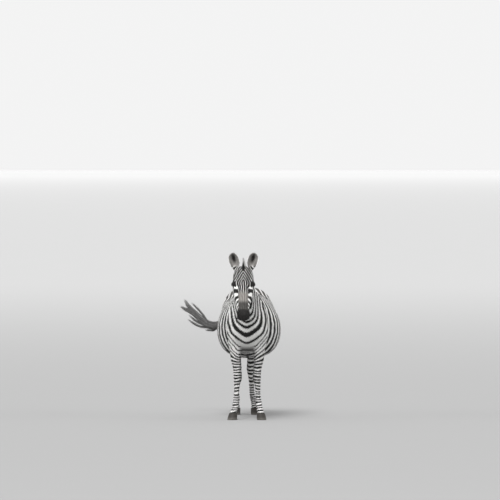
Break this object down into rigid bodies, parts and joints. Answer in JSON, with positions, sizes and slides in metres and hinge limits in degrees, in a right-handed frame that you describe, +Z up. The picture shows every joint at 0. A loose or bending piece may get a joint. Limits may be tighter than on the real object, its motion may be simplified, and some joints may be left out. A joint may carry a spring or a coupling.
{
  "type": "zebra",
  "caption": "Life-size plains zebra standing square and facing forwards, head raised, ears pricked, erect mane, full belly, tail flicked out to its right",
  "frame": {"origin": "centre of the bounding box on the floor the hooves stand on", "axes": "+Z up, the animal faces -Y, +X is its own left side"},
  "size_m": [1.0112, 2.028, 1.6461],
  "materials": {
    "coat": "short flat coat, black stripes on white",
    "mane": "stiff upright hair, banded, dark tips",
    "tail_hair": "long black hair",
    "hoof": "dark dull horn",
    "eye": "wet and dark"
  },
  "bodies": {
    "root": {"ear_left": "coat", "ear_right": "coat", "eye_left": "eye", "eye_right": "eye", "head": "coat", "hoof_front_left": "hoof", "hoof_front_right": "hoof", "hoof_hind_left": "hoof", "hoof_hind_right": "hoof", "leg_front_left": "coat", "leg_front_right": "coat", "leg_hind_left": "coat", "leg_hind_right": "coat", "mane": "mane", "neck": "coat", "tail_brush": "tail_hair", "tail_dock": "coat", "trunk": "coat"}
  },
  "joints": []
}
